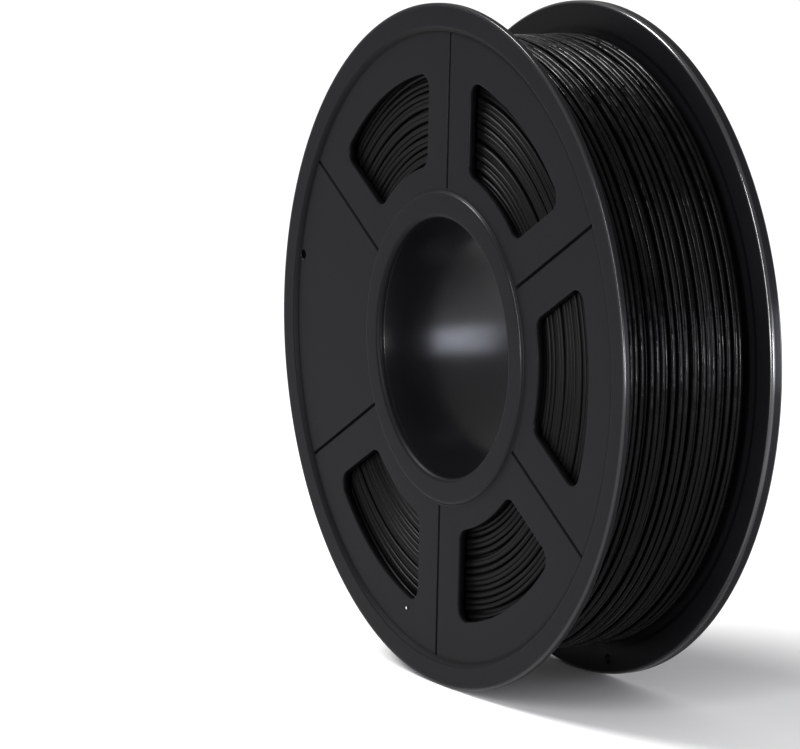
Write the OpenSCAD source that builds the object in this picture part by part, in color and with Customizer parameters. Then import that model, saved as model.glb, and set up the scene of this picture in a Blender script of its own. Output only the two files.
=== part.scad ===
// Filament spool: two moulded flange discs on a hub tube, full of wound filament.
// The spool axis runs along Y, the front flange faces -Y, +Z is up, millimetres throughout.

/* [Spool] */
// outside diameter of both flanges
flange_d = 195; // [190:0.5:205]
// overall width, outer face to outer face
spool_w = 50; // [48:0.5:56]

/* [Hub] */
// bore right through the hub
bore_d = 74; // [70:0.5:76]
// wall of the hub tube
tube_wall = 3.5; // [2.5:0.5:4]
// outside diameter of the raised collar round the bore
collar_d = 89; // [87:0.5:91]
// how far the tube end sits below the outer face
tube_setback = 2; // [1.5:0.5:3]
// length of the socket that holds each tube end
socket_len = 6; // [4:0.5:8]

/* [Flange] */
// thickness of the front flange at its rim
front_rim_t = 2; // [1.5:0.1:2.6]
// thickness of the rear flange at its rim
rear_rim_t = 3.7; // [3:0.1:4]
// thickness of the panel between collar and rim
panel_t = 2.2; // [1.8:0.1:2.6]
// depth of the panel below the rim and collar faces
recess = 1; // [0.6:0.1:1.4]
// diameter where the rim band begins
rim_band_d = 182; // [180:0.5:184]
// width of the sloping step between rim band and panel
step_w = 1.3; // [0.8:0.1:1.6]

/* [Windows] */
// inner radius of the windows
window_r1 = 52; // [50:0.5:56]
// outer radius of the windows
window_r2 = 78; // [72:0.5:80]
// width of the spoke left between two windows
spoke_w = 23.5; // [20:0.5:26]
// corner radius of the windows
corner_r = 4; // [2:0.5:6]
// how far the whole pattern is turned about the axis
pattern_turn = -2.5; // [-10:0.5:10]

/* [Groove and end hole] */
// width of the narrow grooves on the spokes
groove_w = 1.2; // [0.8:0.1:1.6]
// depth of the narrow grooves
groove_depth = 0.6; // [0.3:0.1:0.8]
// diameter of the hole that takes the loose end of the filament
end_hole_d = 3; // [2.5:0.1:3.5]

/* [Filament] */
// diameter of the filament
strand_d = 1.75; // [1.5:0.05:2]
// outside diameter of the winding
winding_d = 177; // [150:1:180]

/* [Hidden] */
$fn = 96;
half_w = spool_w / 2;
flange_r = flange_d / 2;
bore_r = bore_d / 2;
collar_r = collar_d / 2;
tube_r = bore_r + tube_wall;
socket_r = tube_r + 0.05;
socket_end = tube_setback + socket_len;
band_r = rim_band_d / 2;
panel_r = band_r - step_w;
panel_in = recess + panel_t;
edge = 0.6;
lip = 1.4;
core_r = collar_r + 0.3;
winding_r = winding_d / 2;
side_gap = 0.75;
winding_w = spool_w - 2 * (panel_in + side_gap);
strand_rise = 0.35;
side_strands = floor((winding_r - core_r) / (strand_d * 0.92));
outer_strands = floor(winding_w / strand_d);
solid_sector = 2;
front_hole_r = panel_r - 1.7;
front_hole_turn = 170;
rear_hole_r = band_r + 2;
rear_hole_turn = 283;

// section of a flange as [radius, depth below its outer face]
function flange_section(rim_t) = [
    [bore_r, lip],
    [bore_r + 0.4, lip - 0.8],
    [bore_r + lip, 0],
    [collar_r - 0.8, 0],
    [collar_r - 0.2, 0.25],
    [collar_r, recess],
    [panel_r, recess],
    [band_r, 0.15],
    [band_r + 0.4, 0],
    [flange_r - edge, 0],
    [flange_r - 0.18, 0.18],
    [flange_r, edge],
    [flange_r, rim_t - edge],
    [flange_r - 0.18, rim_t - 0.18],
    [flange_r - edge, rim_t],
    [band_r + 0.3, rim_t],
    [panel_r, panel_in],
    [collar_r, panel_in],
    [collar_r, socket_end],
    [socket_r, socket_end],
    [socket_r, tube_setback],
    [bore_r, tube_setback]
];

// one ridge and one valley per strand, up one side of the winding
function side_ridges(h, rise) = [
    for (i = [0 : side_strands - 1], k = [0 : 1])
        [core_r + (i + k * 0.5) * (winding_r - 0.9 - core_r) / side_strands, h + k * rise]
];

// the same across the outside of the winding
function outer_ridges() = [
    for (i = [0 : outer_strands - 1], k = [0 : 1])
        [winding_r - (1 - k) * strand_rise, 0.6 + (i + k * 0.5) * (winding_w - 1.2) / outer_strands]
];

function reversed(a) = [for (i = [len(a) - 1 : -1 : 0]) a[i]];

// shapes are drawn face-on in X and Y, depth running up Z from an outer face
module from_front() {
    translate([0, -half_w, 0])
        rotate([90, 0, 0])
            mirror([0, 0, 1])
                children();
}

module from_rear() {
    translate([0, half_w, 0])
        rotate([90, 0, 0])
            children();
}

// what a rounded corner leaves standing beside the sharp one
module corner_waste(centre, arc_point, sharp, side_point) {
    difference() {
        translate([0, 0, -6])
            linear_extrude(height = 16)
                polygon([centre, arc_point, sharp, side_point]);
        translate([centre[0], centre[1], -7])
            cylinder(r = corner_r, h = 18);
    }
}

module corner_pair() {
    s = spoke_w / 2;
    ro = window_r2 - corner_r;
    ri = window_r1 + corner_r;
    to = asin((s + corner_r) / ro);
    ti = asin((s + corner_r) / ri);
    corner_waste(
        [ro * cos(to), ro * sin(to)],
        [window_r2 * cos(to), window_r2 * sin(to)] * 1.0004,
        [window_r2 + 2, s - 1],
        [ro * cos(to), s - 0.01]
    );
    corner_waste(
        [ri * cos(ti), ri * sin(ti)],
        [window_r1 * cos(ti), window_r1 * sin(ti)] * 0.9996,
        [sqrt(window_r1 * window_r1 - s * s) - 1, s - 1],
        [ri * cos(ti), s - 0.01]
    );
}

// a window between the spoke along X and the spoke sixty degrees on
module window() {
    s = spoke_w / 2;
    difference() {
        intersection() {
            difference() {
                translate([0, 0, -4])
                    cylinder(r = window_r2, h = 12);
                translate([0, 0, -5])
                    cylinder(r = window_r1, h = 14);
            }
            translate([0, 0, -4.5])
                linear_extrude(height = 13)
                    polygon([
                        [s / tan(30), s],
                        [120, s],
                        [120 * cos(60) + s * sin(60), 120 * sin(60) - s * cos(60)]
                    ]);
        }
        corner_pair();
        rotate([0, 0, 60])
            mirror([0, 1, 0])
                corner_pair();
    }
}

module groove() {
    side = groove_depth * sqrt(2);
    translate([collar_r + 0.15, 0, recess - groove_depth])
        scale([1, groove_w / (2 * groove_depth), 1])
            rotate([45, 0, 0])
                cube([panel_r - collar_r - 0.3, side, side]);
}

// windows, grooves and the small end hole; one sector stays whole as a flat place for a label
module cuts(hole_r, hole_turn) {
    rotate([0, 0, pattern_turn]) {
        for (i = [0 : 5]) {
            if (i != solid_sector)
                rotate([0, 0, 30 + i * 60])
                    window();
            rotate([0, 0, 30 + i * 60])
                groove();
        }
        rotate([0, 0, hole_turn])
            translate([hole_r, 0, -1])
                cylinder(d = end_hole_d, h = 8, $fn = 32);
    }
}

module flange(rim_t, hole_r, hole_turn) {
    difference() {
        rotate_extrude()
            polygon(flange_section(rim_t));
        cuts(hole_r, hole_turn);
    }
}

module front_flange() {
    color([0.16, 0.16, 0.17])
        from_front()
            flange(front_rim_t, front_hole_r, front_hole_turn);
}

module rear_flange() {
    color([0.16, 0.16, 0.17])
        from_rear()
            flange(rear_rim_t, rear_hole_r, rear_hole_turn);
}

// plain tube, both ends seated in the flange sockets
module hub_tube() {
    color([0.14, 0.14, 0.15])
        from_front()
            translate([0, 0, tube_setback])
                difference() {
                    cylinder(r = tube_r, h = spool_w - 2 * tube_setback);
                    translate([0, 0, -1])
                        cylinder(r = bore_r, h = spool_w);
                }
}

// the wound filament, one ridge to a strand
module filament_winding() {
    color([0.04, 0.04, 0.045])
        from_front()
            translate([0, 0, panel_in + side_gap])
                rotate_extrude()
                    polygon(concat(
                        side_ridges(0, -strand_rise),
                        outer_ridges(),
                        reversed(side_ridges(winding_w, strand_rise))
                    ));
}

front_flange();
rear_flange();
hub_tube();
filament_winding();
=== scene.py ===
# A filament spool: two moulded flange discs on a hub tube, wound full of black filament.
# The spool axis runs along Y, the front flange faces -Y, and the spool stands on its two rims.
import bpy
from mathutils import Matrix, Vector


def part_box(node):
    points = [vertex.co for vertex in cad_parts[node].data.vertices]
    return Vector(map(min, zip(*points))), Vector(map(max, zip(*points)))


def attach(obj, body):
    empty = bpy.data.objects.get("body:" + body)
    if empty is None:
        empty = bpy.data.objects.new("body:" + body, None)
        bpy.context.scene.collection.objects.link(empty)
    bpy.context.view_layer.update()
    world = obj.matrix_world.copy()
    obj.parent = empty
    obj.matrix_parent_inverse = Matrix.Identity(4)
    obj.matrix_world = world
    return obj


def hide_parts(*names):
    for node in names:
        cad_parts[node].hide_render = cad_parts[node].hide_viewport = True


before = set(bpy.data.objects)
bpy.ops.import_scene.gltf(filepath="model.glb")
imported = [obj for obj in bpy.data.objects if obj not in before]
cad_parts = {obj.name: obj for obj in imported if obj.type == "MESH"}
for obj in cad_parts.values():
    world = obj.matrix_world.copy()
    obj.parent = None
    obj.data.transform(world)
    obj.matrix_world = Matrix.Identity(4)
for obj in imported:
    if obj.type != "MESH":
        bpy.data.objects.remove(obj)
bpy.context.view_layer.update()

import math
import random

import bmesh
import bpy
from mathutils import Matrix, Vector


# ---------------------------------------------------------------------------
# HUB TUBE
# A plain extruded tube of black plastic between the two flanges. Its smooth inside is the bore,
# and each end sits in the socket behind a flange collar.

class Wire:
    """A socket of a finish; arithmetic on it adds Math nodes."""

    def __init__(self, finish, socket):
        self.finish, self.socket = finish, socket

    def maths(self, operation, *values):
        return self.finish.add("Math", {"operation": operation}, dict(enumerate(values)))

    def __add__(self, other):
        return self.maths("ADD", self, other)

    def __radd__(self, other):
        return self.maths("ADD", other, self)

    def __sub__(self, other):
        return self.maths("SUBTRACT", self, other)

    def __rsub__(self, other):
        return self.maths("SUBTRACT", other, self)

    def __mul__(self, other):
        return self.maths("MULTIPLY", self, other)

    def __rmul__(self, other):
        return self.maths("MULTIPLY", other, self)

    def __truediv__(self, other):
        return self.maths("DIVIDE", self, other)

    def __pow__(self, other):
        return self.maths("POWER", self, other)

    def __abs__(self):
        return self.maths("ABSOLUTE", self)

    def or_more(self, other):
        """The larger of the two."""
        return self.maths("MAXIMUM", self, other)


class Finish:
    """One surface finish: a Principled shader and the nodes that vary it."""

    def __init__(self, name, **sockets):
        self.material = bpy.data.materials.new(name)
        self.material.use_nodes = True
        self.nodes = self.material.node_tree.nodes
        self.links = self.material.node_tree.links
        self.shader = self.nodes["Principled BSDF"]
        self.set(self.shader, {k.replace("_", " "): v for k, v in sockets.items()})

    def set(self, node, sockets):
        for key, value in sockets.items():
            if isinstance(value, Wire):
                self.links.new(value.socket, node.inputs[key])
            else:
                node.inputs[key].default_value = value

    def add(self, kind, settings=None, sockets=None, out=0):
        """A new node of that kind, as the Wire from one of its outputs."""
        node = self.nodes.new("ShaderNode" + kind)
        for key, value in (settings or {}).items():
            if key == "stops":
                ramp = node.color_ramp.elements
                while len(ramp) < len(value):
                    ramp.new(0.5)
                for stop, (place, grey) in zip(ramp, value):
                    stop.position, stop.color = place, (grey, grey, grey, 1)
            else:
                setattr(node, key, value)
        self.set(node, sockets or {})
        return Wire(self, node.outputs[out])

    def place(self):
        """The spot on the spool, then its y, its distance from the axis and its turn."""
        spot = self.add("TexCoord", out="Object")
        x, y, z = (self.add("SeparateXYZ", {}, {0: spot}, out=k) for k in range(3))
        radius = (x * x + z * z) ** 0.5
        return spot, y, radius, z.maths("ARCTAN2", z, x)

    def specks(self, spot, scale, detail=2.0, roughness=0.5):
        return self.add("TexNoise", {}, {"Vector": spot, "Scale": scale, "Detail": detail,
                                         "Roughness": roughness})

    def around(self, radius, y, turn, across, along):
        """A vector that stretches a pattern along the turns."""
        return self.add("CombineXYZ", {}, {0: radius * across, 1: y * across, 2: turn * along})

    def ramp(self, value, *stops):
        return self.add("ValToRGB", {"stops": stops}, {0: value})

    def blend(self, share, low, high):
        low, high = (c if isinstance(c, Wire) else (*c, 1) for c in (low, high))
        return self.add("Mix", {"data_type": "RGBA"}, {0: share, 6: low, 7: high}, out=2)

    def relief(self, height, depth):
        """Bump of that depth in metres."""
        return self.add("Bump", {}, {"Height": height, "Distance": depth, "Strength": 1.0})


def spun(bm, section, closed, steps=192):
    """Draws an outline of (distance from the axis, y) in millimetres and spins it all round."""
    points = [bm.verts.new((r, y, 0)) for r, y in section]
    following = points[1:] + points[:1] if closed else points[1:]
    sides = [bm.edges.new(pair) for pair in zip(points, following)]
    bmesh.ops.spin(bm, geom=points + sides, cent=(0, 0, 0), axis=(0, 1, 0),
                   angle=math.tau, steps=steps, use_merge=True)


def ring(bm, r, y):
    """The edges that lie on one circle round the axis."""
    def on(v):
        return abs(math.hypot(v.co.x, v.co.z) - r) < 0.02 and abs(v.co.y - y) < 0.02
    return [e for e in bm.edges if on(e.verts[0]) and on(e.verts[1])]


def soften(bm, r, y, width, segments):
    """Rounds the edge that lies on one circle."""
    bmesh.ops.bevel(bm, geom=ring(bm, r, y), offset=width, segments=segments, profile=0.5,
                    affect="EDGES", material=-1, clamp_overlap=True)


def piece(name, bm, finish):
    """Turns a shape modelled in millimetres into a piece of the spool."""
    bmesh.ops.recalc_face_normals(bm, faces=bm.faces)
    bmesh.ops.scale(bm, vec=(0.001, 0.001, 0.001), verts=bm.verts)
    mesh = bpy.data.meshes.new(name)
    bm.to_mesh(mesh)
    bm.free()
    mesh.shade_smooth()
    mesh.set_sharp_from_angle(angle=math.radians(32))
    mesh.materials.append(finish.material)
    made = bpy.data.objects.new(name, mesh)
    bpy.context.scene.collection.objects.link(made)
    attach(made, "root")
    return made


tube_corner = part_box("hub_tube")[1] * 1000
tube_outside, tube_end = tube_corner.x, tube_corner.y
bore = 37.0

tube_finish = Finish("hub_tube_plastic", Specular_IOR_Level=0.60, IOR=1.5)
spot, y, radius, turn = tube_finish.place()
drag = tube_finish.specks(tube_finish.around(radius, y, turn, 160, 9), 1.0, 3.0)
cloud = tube_finish.specks(spot, 45.0, 2.0)
grain = tube_finish.specks(spot, 2200.0, 1.0)
tube_finish.set(tube_finish.shader, {
    "Base Color": tube_finish.blend(cloud, (0.005, 0.005, 0.006), (0.010, 0.010, 0.012)),
    "Roughness": 0.18 + 0.08 * cloud + 0.05 * drag,
    "Normal": tube_finish.relief(drag * 0.95 + grain * 0.05, 0.000007),
})

bm = bmesh.new()
spun(bm, [(bore, -tube_end), (tube_outside, -tube_end), (tube_outside, tube_end),
          (bore, tube_end)], closed=True, steps=256)
for end in (-tube_end, tube_end):
    soften(bm, bore, end, 0.25, 2)
hub_tube = piece("hub_tube_smooth", bm, tube_finish)
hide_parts("hub_tube")


# ---------------------------------------------------------------------------
# FRONT FLANGE
# An injection moulded disc in satin black: a raised rim band, a sunk panel with five windows and
# six fine grooves, a raised collar round the bore, and a socket behind it that takes the tube.

half_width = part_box("rear_flange")[1].y * 1000
rim = round(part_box("front_flange")[1].z * 1000 * 2) / 2
panel_face, panel_back = 1.0, 3.2  # depths below the outer face
panel_edge, band_edge = 89.7, 91.0  # foot and top of the step up to the rim band
collar_foot, collar_slope, collar_edge = 45.3, 44.8, 44.3
socket_inside, socket_outside = tube_outside + 0.05, 44.5
socket_top, socket_end = 2.0, 8.0
windows = (0, 60, 120, 240, 300)
window_inner, window_outer, half_spoke, corner = 52.0, 78.0, 11.75, 4.0
window_edge = ((0.40, 0.0), (0.12, 0.12), (0.0, 0.40))  # (how much wider, how far down)
grooves = (30, 90, 150, 210, 270, 330)
groove_wide, groove_deep = 1.1, 0.95
groove_slope = groove_wide * 0.28
pattern_turn = -2.5  # how far the windows and grooves are turned, in degrees
end_hole = 1.5
gate_r, gate_turn = 81.5, 255
gate_pip = ((0.62, 0.0), (0.55, 0.16), (0.34, 0.30))  # (half width, height)


def at(r, a, depth=0.0):
    """A place by its distance from the axis, its turn and its depth."""
    return Vector((r * math.cos(a), depth, r * math.sin(a)))


flange_finish = Finish("flange_plastic", Specular_IOR_Level=0.13, IOR=1.5, Coat_IOR=2.0,
                       Coat_Roughness=0.16)
spot, y, radius, turn = flange_finish.place()
cloud = flange_finish.specks(spot, 28.0, 3.0)
grain = flange_finish.specks(spot, 1500.0, 2.0, 0.6)
rub = flange_finish.specks(flange_finish.around(radius, y, turn, 900, 2.5), 1.0, 2.0)
rub_marks = flange_finish.ramp(rub, (0.50, 0.0), (0.75, 1.0))

# masks by the distance from the axis in tenths of a metre and from the middle in millimetres
reach = radius / 0.1
off_middle = abs(y) * 1000
at_rim = flange_finish.ramp(reach, (0.955, 0.0), (0.970, 0.2), (0.9735, 1.0))
worn = at_rim * (0.45 + 0.55 * rub_marks)
edges_of_rim = flange_finish.ramp((off_middle - 22) / 3, (0.10, 1.0), (0.20, 0.07),
                                  (0.80, 0.07), (0.86, 1.0))
rounded = flange_finish.ramp(reach, (0.436, 0.0), (0.440, 0.25), (0.447, 0.25), (0.450, 0.0),
                             (0.966, 0.0), (0.970, 1.0))
below_panel = flange_finish.ramp(off_middle - 23, (0.50, 0.0), (0.55, 0.10), (0.96, 0.10),
                                 (0.99, 0.0))
polish = (rounded * edges_of_rim).or_more(below_panel)
# Painted shade: a thin ring at the foot of the step up to the rim band is made darker.
step_foot_shade_paint = flange_finish.ramp(reach, (0.888, 0.0), (0.893, 1.0), (0.900, 1.0), (0.906, 0.0))
# Painted highlight: a small light grey dot on the gate pip.
gate_a = math.radians(gate_turn)
gate_place = at(gate_r, gate_a, panel_face - 0.2 - half_width) / 1000
from_gate = flange_finish.add("VectorMath", {"operation": "DISTANCE"},
                              {0: spot, 1: gate_place}, out=1)
gate_pip_painted_highlight = flange_finish.ramp(from_gate * 1000, (0.30, 1.0), (0.55, 0.0))
in_windows = flange_finish.ramp(reach, (0.500, 0.0), (0.505, 1.0), (0.795, 1.0), (0.800, 0.0))
# Painted shade: the walls of the windows below the panel's face are made near black.
window_wall_shade_paint = in_windows * flange_finish.ramp((off_middle - 21) / 4, (0.50, 1.0), (0.62, 0.0))
facing_front = flange_finish.ramp(y * 10 + 0.5, (0.30, 0.5), (0.70, 1.0))

moulded = flange_finish.blend(cloud, (0.0066, 0.0067, 0.0079), (0.0105, 0.0106, 0.0120))
rubbed = flange_finish.blend(worn, moulded, (0.010, 0.010, 0.011))
# Both painted shade masks darken the base colour towards near black.
painted_shade_share = window_wall_shade_paint.or_more(step_foot_shade_paint * 0.8)
shaded = flange_finish.blend(painted_shade_share, rubbed, (0.0015, 0.0015, 0.002))
# The base colour also takes the painted highlight on the gate pip.
flange_finish.set(flange_finish.shader, {
    "Base Color": flange_finish.blend(gate_pip_painted_highlight, shaded, (0.5, 0.5, 0.5)),
    "Roughness": 0.36 + 0.10 * cloud + 0.06 * grain - 0.08 * worn,
    "Coat Weight": polish * facing_front * (0.7 + 0.3 * rub_marks),
    "Normal": flange_finish.relief(grain * 0.8 + cloud * 0.2, 0.000024),
})


def turned_to(bm, geom, a):
    """Turns part of a flange about the spool axis to an angle in degrees."""
    bmesh.ops.rotate(bm, verts=[v for v in geom if isinstance(v, bmesh.types.BMVert)],
                     cent=(0, 0, 0), matrix=Matrix.Rotation(-math.radians(a), 3, "Y"))


def arc(bm, start, centre, angle, steps):
    """Draws an arc from a vertex by spinning it, and returns the vertex at its end."""
    made = bmesh.ops.spin(bm, geom=[start], cent=(centre.x, start.co.y, centre.z),
                          axis=(0, -1, 0), angle=angle, steps=steps, use_duplicate=False)
    return made["geom_last"][0]


def straight(bm, start, place):
    """Draws a straight edge from a vertex, and returns the vertex at its end."""
    foot = bm.verts.new(place)
    bm.edges.new((start, foot))
    return foot


def lies_at(part, depth):
    return all(abs(v.co.y - depth) < 1e-4 for v in part.verts)


def level(bm, depth):
    """The edges that lie at one depth and still lack a face."""
    return [e for e in bm.edges if len(e.link_faces) < 2 and lies_at(e, depth)]


def window_outline(bm, grow, depth):
    """The rounded outline of a window at turn 0, larger all round by grow, at one depth."""
    inner, outer = window_inner - grow, window_outer + grow
    spoke, q = half_spoke - grow, corner + grow
    half_sector, across = math.radians(30), math.radians(120)
    wide = half_sector - math.asin((spoke + q) / (outer - q))
    narrow = half_sector - math.asin((spoke + q) / (inner + q))
    v = arc(bm, bm.verts.new(at(outer, -wide, depth)), at(0, 0), 2 * wide, 22)
    v = arc(bm, v, at(outer - q, wide), across - wide, 9)
    v = straight(bm, v, at(inner + q, narrow, depth) + at(q, across))
    v = arc(bm, v, at(inner + q, narrow), math.pi + narrow - across, 7)
    v = arc(bm, v, at(0, 0), -2 * narrow, 12)
    v = arc(bm, v, at(inner + q, -narrow), math.pi + narrow - across, 7)
    v = straight(bm, v, at(outer - q, -wide, depth) + at(q, -across))
    arc(bm, v, at(outer - q, -wide), across - wide, 9)
    corners = dict.fromkeys(v for e in level(bm, depth) for v in e.verts)
    bmesh.ops.remove_doubles(bm, verts=list(corners), dist=0.01)
    return level(bm, depth)


def laid_flat(bm, made, place):
    """Tips a new flat shape from level to upright, parallel to the flange, and puts it in place."""
    upright = Matrix.Rotation(math.radians(90), 3, "X")
    bmesh.ops.rotate(bm, verts=made, cent=(0, 0, 0), matrix=upright)
    bmesh.ops.translate(bm, verts=made, vec=place)


def round_outline(bm, middle, radius, depth):
    """A small circle on the flange."""
    made = bmesh.ops.create_circle(bm, segments=28, radius=radius)["verts"]
    laid_flat(bm, made, middle + Vector((0, depth, 0)))
    return list(dict.fromkeys(e for v in made for e in v.link_edges))


def joined(bm, loops):
    """Walls from each outline to the next."""
    for upper, lower in zip(loops, loops[1:]):
        bmesh.ops.bridge_loops(bm, edges=upper + lower)


def flange(rim_thickness, inner_edge, hole_r, hole_turn, with_gate):
    """A flange drawn with its outer face at y 0 and its depth running to +y."""
    bm = bmesh.new()

    # five windows with softened edges on both faces, made once and turned into place
    outlines = [window_outline(bm, grow, panel_face + down) for grow, down in window_edge]
    outlines += [window_outline(bm, grow, panel_back - down) for grow, down in window_edge[::-1]]
    joined(bm, outlines)
    first = bm.verts[:] + bm.edges[:] + bm.faces[:]
    for middle in windows[1:]:
        turned_to(bm, bmesh.ops.duplicate(bm, geom=first)["geom"], middle)

    # six shallow grooves with sloping sides
    for a in grooves:
        made = bmesh.ops.create_grid(bm, x_segments=1, y_segments=1, size=0.5)["verts"]
        bmesh.ops.scale(bm, vec=(panel_edge - collar_foot - 0.5, groove_wide, 1), verts=made)
        laid_flat(bm, made, ((collar_foot + panel_edge) / 2, panel_face, 0))
        sides = bmesh.ops.inset_region(bm, faces=made[0].link_faces[:], thickness=groove_slope,
                                       use_boundary=True, use_even_offset=True)["faces"]
        made = list(dict.fromkeys(v for f in sides for v in f.verts))
        foot = [v for v in made if not v.is_boundary]
        bmesh.ops.translate(bm, verts=foot, vec=(0, groove_deep, 0))
        turned_to(bm, made, a)
    turned_to(bm, bm.verts[:], pattern_turn)

    # the rim, from the panel's edge up the step, round the outside and back underneath
    spun(bm, [(panel_edge, panel_face), (band_edge, 0), (rim, 0), (rim, rim_thickness),
              (band_edge + 0.3, rim_thickness), (panel_edge, panel_back)], closed=False)

    # the collar, over the lip, down the bore, and round the socket
    spun(bm, [(collar_foot, panel_face), (collar_slope, panel_face), (collar_edge, 0), (bore, 0),
              (bore, socket_top), (socket_inside, socket_top), (socket_inside, socket_end),
              (socket_outside, socket_end), (socket_outside, panel_back)], closed=False)

    # every edge is rounded by its own width
    soften(bm, band_edge, 0, 0.32, 3)
    soften(bm, rim, 0, 0.45, 4)
    soften(bm, rim, rim_thickness, inner_edge, 5)
    soften(bm, collar_edge, 0, 0.6, 4)
    soften(bm, collar_slope, panel_face, 0.3, 2)
    soften(bm, bore, 0, 1.5, 5)

    # the small hole for the loose end, through the panel or through the rim band
    through_band = hole_r > band_edge
    top, bottom = (0, rim_thickness) if through_band else (panel_face, panel_back)
    middle = at(hole_r, math.radians(hole_turn + pattern_turn))
    if through_band:
        flats = [f for f in bm.faces if (lies_at(f, top) or lies_at(f, bottom))
                 and (f.calc_center_median().xz - middle.xz).length < end_hole + 2.0]
        bmesh.ops.delete(bm, geom=flats, context="FACES")
    joined(bm, [round_outline(bm, middle, r, d) for r, d in (
        (end_hole + 0.1, top), (end_hole, top + 0.12),
        (end_hole, bottom - 0.12), (end_hole + 0.1, bottom))])

    # the low pip where the moulding gate was cut off
    if with_gate:
        joined(bm, [round_outline(bm, at(gate_r, gate_a), r, panel_face - height)
                    for r, height in gate_pip])
        bmesh.ops.contextual_create(bm, geom=level(bm, panel_face - gate_pip[-1][1]))

    for depth in {panel_face, panel_back, top, bottom}:
        bmesh.ops.triangle_fill(bm, use_beauty=True, edges=level(bm, depth), normal=(0, -1, 0))
    return bm


def finished(name, bm, node):
    """Makes a flange that is in its place a piece, shaded evenly across its flat faces."""
    made = piece(name, bm, flange_finish)
    made.modifiers.new("even shading", "WEIGHTED_NORMAL").keep_sharp = True
    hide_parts(node)


bm = flange(rim_thickness=2.0, inner_edge=0.55, hole_r=88.0, hole_turn=170, with_gate=True)
bmesh.ops.translate(bm, verts=bm.verts, vec=(0, -half_width, 0))
finished("front_flange_moulded", bm, "front_flange")


# ---------------------------------------------------------------------------
# REAR FLANGE
# The same moulding turned to face the other way, with a thicker rim that is well rounded inside,
# and its own end hole low down in the rim band.

bm = flange(rim_thickness=3.7, inner_edge=1.1, hole_r=93.0, hole_turn=283, with_gate=False)
bmesh.ops.scale(bm, vec=(1, -1, 1), verts=bm.verts)
bmesh.ops.translate(bm, verts=bm.verts, vec=(0, half_width, 0))
finished("rear_flange_moulded", bm, "rear_flange")


# ---------------------------------------------------------------------------
# FILAMENT
# Black filament, 1.75 mm, wound back and forth in layers between the flanges. The outer layers
# and the turns against each flange are laid one by one; what they cover is a plain ring.

filament_finish = Finish("filament_black", Specular_IOR_Level=0.15, IOR=1.5)
spot, y, radius, turn = filament_finish.place()
streak = filament_finish.specks(filament_finish.around(radius, y, turn, 700, 7), 1.0, 2.0)
grain = filament_finish.specks(spot, 1800.0, 1.0)
kink = filament_finish.specks(spot, 240.0, 1.0)
on_top = filament_finish.ramp(radius / 0.1, (0.825, 0.0), (0.845, 1.0))
shine = filament_finish.specks(filament_finish.around(radius, y, turn, 620, 17), 1.0, 2.0)
gloss = 0.34 - 0.27 * filament_finish.ramp(shine, (0.46, 0.0), (0.60, 1.0))
dull = 0.42
filament_finish.set(filament_finish.shader, {
    "Base Color": filament_finish.blend(streak, (0.0020, 0.0020, 0.0024),
                                        (0.0046, 0.0046, 0.0051)),
    "Roughness": dull + on_top * (gloss - dull),
    "Normal": filament_finish.relief(kink * (0.4 + on_top) + 0.5 * streak + 0.04 * grain, 0.00013),
})

strand = 1.75
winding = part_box("filament_winding")[1].z * 1000
wall = 21.75  # how far from the middle the room for the winding ends, just inside the flanges
core = 46.0  # inside of the winding, clear of the sockets
steps_round = 150
lay = random.Random(11)


def drift(size, count=3):
    """A gentle wander round the turn: a few waves of random size and start."""
    waves = [(k + 1, lay.uniform(-1, 1) * size / (k + 1), lay.uniform(0, math.tau))
             for k in range(count)]
    return lambda a: sum(w * math.sin(k * a + start) for k, w, start in waves)


def laid(name, lines, closed):
    """Filament along each line of (turn, distance from the axis, y)."""
    path = bpy.data.curves.new(name, "CURVE")
    path.dimensions = "3D"
    path.bevel_depth = strand / 2000
    path.bevel_resolution = 2
    path.use_fill_caps = True
    for line in lines:
        spline = path.splines.new("POLY")
        spline.points.add(len(line) - 1)
        for point, (a, r, y) in zip(spline.points, line):
            point.co = (*at(r / 1000, a, y / 1000), 1)
        spline.use_cyclic_u = closed
        spline.use_smooth = True
    path.materials.append(filament_finish.material)
    made = bpy.data.objects.new(name, path)
    bpy.context.scene.collection.objects.link(made)
    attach(made, "root")


# the covered part of the winding
covered_r, covered_y = winding - 5.6, wall - 2.2
bm = bmesh.new()
spun(bm, [(core, -covered_y), (covered_r, -covered_y), (covered_r, covered_y),
          (core, covered_y)], closed=True)
bulk = piece("winding_inside", bm, filament_finish)
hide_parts("filament_winding")

# turns against the two flanges, one to a layer; from 62 to 78 mm out they draw in a little
for side, name in ((-1, "turns_behind_front_flange"), (1, "turns_behind_rear_flange")):
    lines = []
    r = core + 0.5
    while r < winding - 4.0:
        wander, lean = drift(0.55), drift(0.28, 2)
        inset = 1.35 + 0.6 * min(1, max(0, (r - 62) / 16)) ** 2
        lines.append([(a, r + wander(a), side * (wall - inset + lean(a)))
                      for a in (math.tau * k / steps_round for k in range(steps_round))])
        r += lay.choice((1.62, 1.7, 1.75, 1.85, 2.0))
    laid(name, lines, closed=True)

# the outer passes from flange to flange: each turn rests on what lies beneath it
beneath = [[] for _ in range(steps_round)]
lowest_r = winding - 4.35
room = 2 * (wall - strand / 2 - 0.8)
loose_end = math.radians(250)  # each pass begins and ends low on the left


def rest_on(step, y, floor):
    """How far from the axis a turn lies when it is laid at y over what is there already.
    Turns bed down on each other, so they lie a little closer than round strands would."""
    height = floor
    for below_y, below_r in beneath[step]:
        gap = abs(y - below_y)
        if gap < strand:
            height = max(height, below_r + 0.97 * math.sqrt(strand * strand - gap * gap))
    return height


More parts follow.
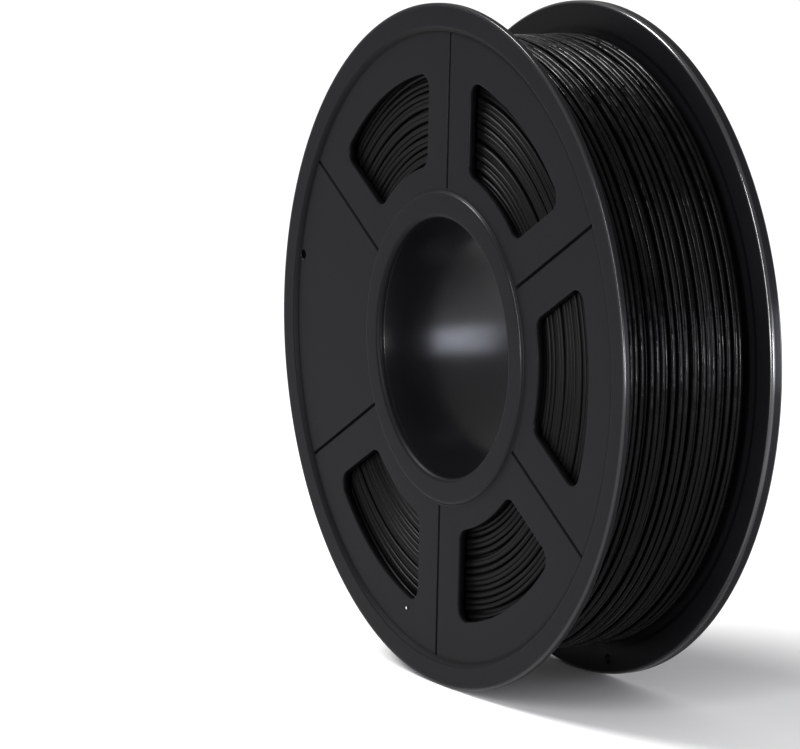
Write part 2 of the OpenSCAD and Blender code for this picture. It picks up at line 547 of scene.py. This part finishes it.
def wound(count, looseness, floor, forward, pitch_noise):
    """One pass across the winding, as a single strand."""
    shares = [1 + pitch_noise * lay.random() ** 2 for _ in range(count)]
    steps = [share * room / sum(shares) for share in shares]
    wanders = [drift(looseness) for _ in range(count + 1)]
    line = []
    y = -room / 2
    for k in range(count):
        for step in range(steps_round):
            part = step / steps_round
            a = math.tau * part
            ease = wanders[k](a) * (1 - part) + wanders[k + 1](a) * part
            place = max(-room / 2, min(room / 2, y + steps[k] * part + ease))
            place = place if forward else -place
            line.append([a + loose_end, rest_on(step, place, floor), place, step])
        y += steps[k]
        # a turn can be lain on once its pass has moved on by one more turn
        if k:
            for a, r, place, step in line[-2 * steps_round:-steps_round]:
                beneath[step].append((place, r))
    for a, r, place, step in line[-steps_round:]:
        beneath[step].append((place, r))

    # the strand is stiff, so it takes the mean height of the five points about each point
    heights = [r for a, r, place, step in line]
    eased = []
    for n, (a, r, place, step) in enumerate(line):
        near = heights[max(0, n - 2):n + 3]
        eased.append((a, sum(near) / len(near), place))
    return eased


for name, count, looseness, floor, forward, pitch_noise in (
        ("turns_of_lower_pass", 21, 0.10, lowest_r, True, 0.10),
        ("turns_of_upper_pass", 20, 0.18, lowest_r + 1.5, False, 0.25),
        ("turns_of_last_loose_pass", 18, 0.75, lowest_r + 2.9, True, 1.6)):
    laid(name, [wound(count, looseness, floor, forward, pitch_noise)], closed=False)


# ---------------------------------------------------------------------------
# STUDIO
# A pale sweep of floor under soft light, and the camera.

def soft_light(name, place, aim, wide, high, power, colour=(1, 1, 1), spread=180):
    """A light card that shines from a place towards another and isn't seen itself."""
    lamp = bpy.data.lights.new(name, "AREA")
    lamp.color, lamp.spread = colour, math.radians(spread)
    lamp.shape, lamp.size, lamp.size_y, lamp.energy = "RECTANGLE", wide, high, power
    made = bpy.data.objects.new(name, lamp)
    made.location = place
    made.rotation_mode = "QUATERNION"
    made.rotation_quaternion = (Vector(aim) - Vector(place)).to_track_quat("-Z", "Y")
    made.visible_camera = False
    bpy.context.scene.collection.objects.link(made)


floor_finish = Finish("studio_floor", Roughness=0.9, Specular_IOR_Level=0.2)
clouds = floor_finish.specks(floor_finish.add("TexCoord", out="Object"), 3.0)
floor_finish.set(floor_finish.shader, {
    "Base Color": floor_finish.blend(clouds, (0.78, 0.78, 0.78), (0.82, 0.82, 0.82))})
bm = bmesh.new()
bmesh.ops.create_grid(bm, x_segments=8, y_segments=8, size=6.0)
bmesh.ops.translate(bm, verts=bm.verts, vec=(0, 0, -rim / 1000))
mesh = bpy.data.meshes.new("floor")
bm.to_mesh(mesh)
bm.free()
mesh.materials.append(floor_finish.material)
floor = bpy.data.objects.new("floor", mesh)
bpy.context.scene.collection.objects.link(floor)

world = bpy.data.worlds.new("studio")
world.use_nodes = True
sky = world.node_tree.nodes["Background"].inputs
sky["Color"].default_value = (1, 1, 1, 1)
sky["Strength"].default_value = 0.63
bpy.context.scene.world = world

key = bpy.data.lights.new("high_window_at_left", "SUN")
key.energy, key.angle = 2.9, math.radians(22)
made = bpy.data.objects.new("high_window_at_left", key)
made.rotation_mode = "QUATERNION"
made.rotation_quaternion = Vector((0.50, 0.38, -0.78)).to_track_quat("-Z", "Y")
bpy.context.scene.collection.objects.link(made)
soft_light("low_card_at_back_right", (0.40, 0.245, 0.01), (0, 0, 0), 0.30, 0.17, 0.125,
           (0.84, 0.87, 1.0), 60)
soft_light("low_window_at_front", (0.28, -1.0, -0.02), (0, 0, 0), 0.40, 0.13, 2.6)
soft_light("card_along_the_gap", (1.0, -0.03, 0.0), (0, 0, 0), 0.22, 0.18, 5.0)
soft_light("tall_window_at_front", (0.50, -0.85, 0.34), (0, 0, 0.1), 0.09, 0.86, 8.5)

azimuth, elevation, distance = math.radians(61.11), math.radians(7.69), 1.050
back = Vector((math.sin(azimuth) * math.cos(elevation),
               -math.cos(azimuth) * math.cos(elevation), math.sin(elevation)))
right = (-back).cross(Vector((0, 0, 1))).normalized()
shift_right, shift_up = -0.03323, -0.00913
lens = bpy.data.cameras.new("camera")
lens.sensor_width, lens.lens = 36.0, 164.5155
lens.clip_start, lens.clip_end = 0.05, 30
camera = bpy.data.objects.new("camera", lens)
camera.location = back * distance + right * shift_right + Vector((0, 0, shift_up))
camera.rotation_mode = "QUATERNION"
camera.rotation_quaternion = (-back).to_track_quat("-Z", "Y")
bpy.context.scene.collection.objects.link(camera)
bpy.context.scene.camera = camera
bpy.context.scene.view_settings.view_transform = "Standard"
bpy.context.scene.view_settings.gamma = 0.8
